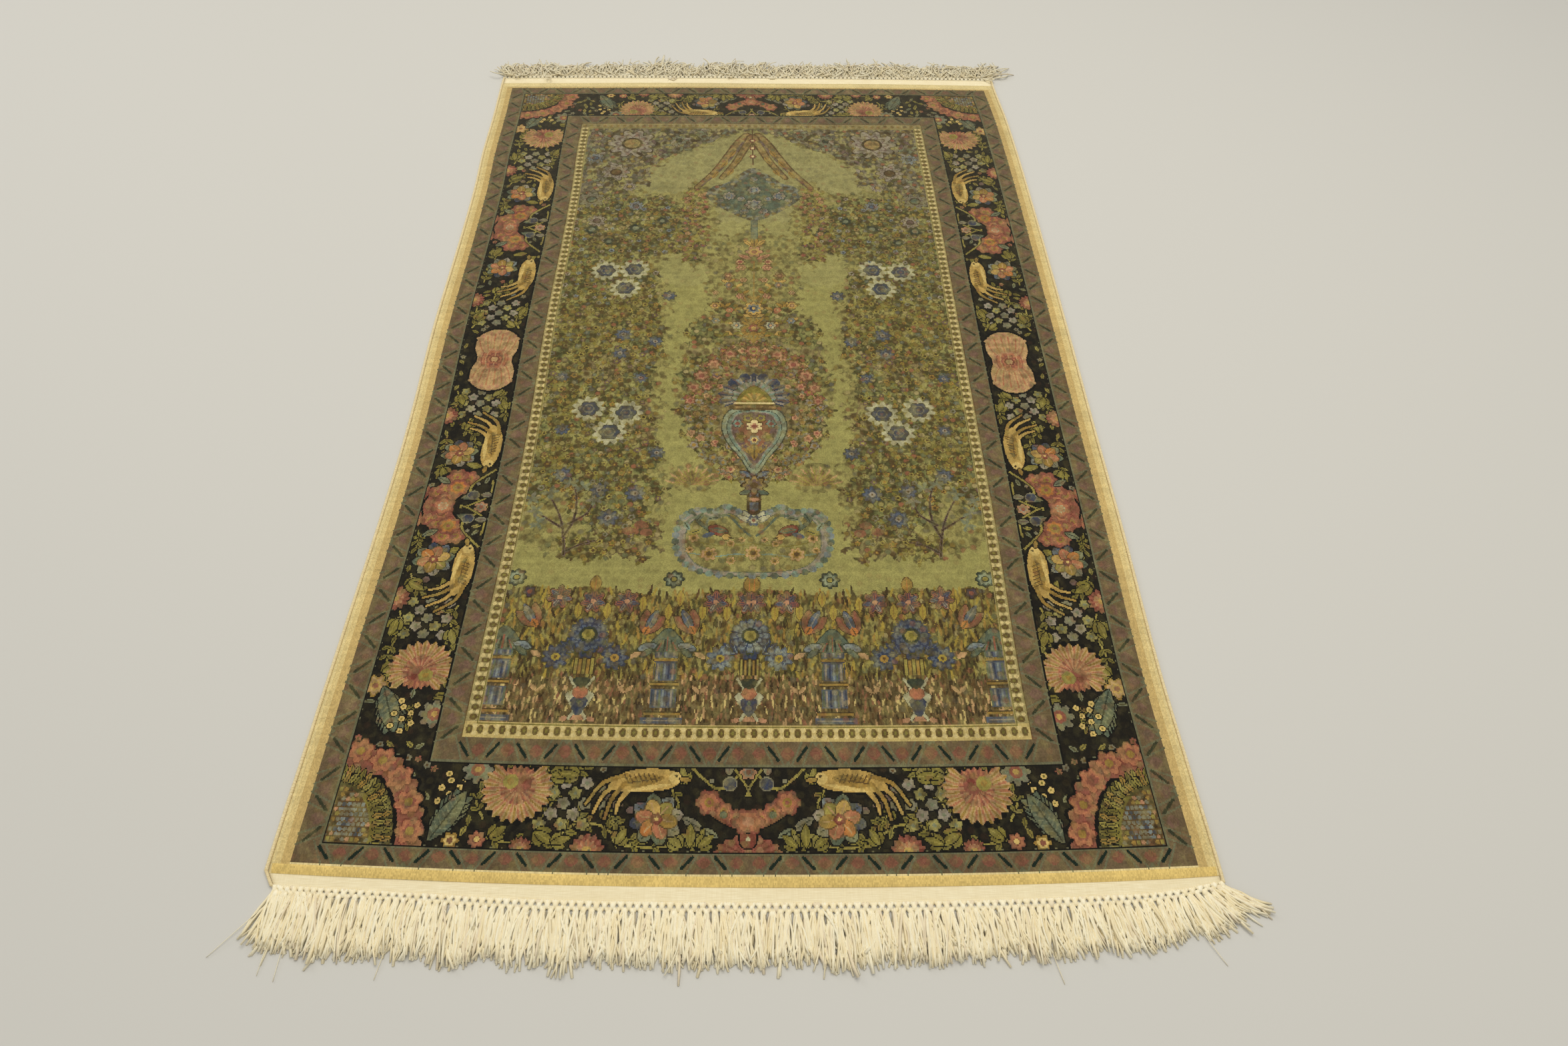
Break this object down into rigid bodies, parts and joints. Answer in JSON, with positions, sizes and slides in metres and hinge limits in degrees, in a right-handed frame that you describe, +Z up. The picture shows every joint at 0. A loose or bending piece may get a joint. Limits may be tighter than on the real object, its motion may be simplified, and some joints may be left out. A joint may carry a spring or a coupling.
{
  "type": "silk prayer rug with knotted fringes",
  "caption": "Knotted silk rug lying flat, with flat-woven end bands, overcast side cords and a knotted warp fringe at each end.",
  "frame": {"origin": "on the floor under the middle of the whole rug, fringes included", "axes": "+X across the rug to the right seen from the near end, +Y along it to the far end, +Z up out of the pile"},
  "size_m": [1.0008, 1.6778, 0.0049],
  "materials": {
    "silk_pile": "close-cropped silk pile with a soft directional sheen",
    "band_weave": "flat-woven silk warp and weft, matt",
    "overcast_silk": "silk yarn wrapped over the edge warps",
    "warp_fringe": "loose unspun silk warp ends, matt"
  },
  "bodies": {
    "root": {"rug_cloth": "silk_pile", "selvedge_left": "overcast_silk", "selvedge_right": "overcast_silk", "fringe_near": "warp_fringe", "fringe_far": "warp_fringe"}
  },
  "joints": []
}
